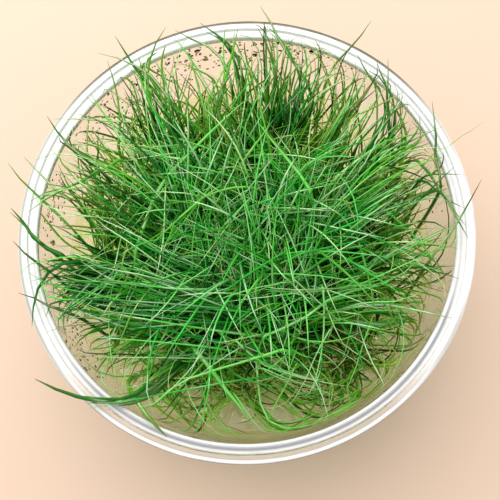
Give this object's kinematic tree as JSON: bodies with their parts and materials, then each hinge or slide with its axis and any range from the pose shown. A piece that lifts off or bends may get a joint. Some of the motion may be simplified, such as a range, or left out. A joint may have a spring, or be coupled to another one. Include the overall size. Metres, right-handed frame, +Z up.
{
  "type": "dwarf hairgrass in a clear cup",
  "caption": "Clear round plastic cup with a rolled rim, filled low with plant jelly, in which clumps of thin grass leaves stand and lean out over the rim.",
  "frame": {"origin": "centre of the cup's flat underside", "axes": "+Z up along the cup's axis; -Y is the side that the picture is taken from"},
  "size_m": [0.1054, 0.1054, 0.0612],
  "materials": {
    "clear_plastic": "gloss",
    "plant_jelly": "gloss",
    "leaf_green": "satin"
  },
  "bodies": {
    "root": {"cup": "clear_plastic", "gel": "plant_jelly", "tuft_01": "leaf_green", "tuft_02": "leaf_green", "tuft_03": "leaf_green", "tuft_04": "leaf_green", "tuft_05": "leaf_green", "tuft_06": "leaf_green", "tuft_07": "leaf_green", "tuft_08": "leaf_green", "tuft_09": "leaf_green", "tuft_10": "leaf_green", "tuft_11": "leaf_green", "tuft_12": "leaf_green", "tuft_13": "leaf_green", "tuft_14": "leaf_green", "tuft_15": "leaf_green", "tuft_16": "leaf_green", "tuft_17": "leaf_green", "tuft_18": "leaf_green", "tuft_19": "leaf_green"}
  },
  "joints": []
}
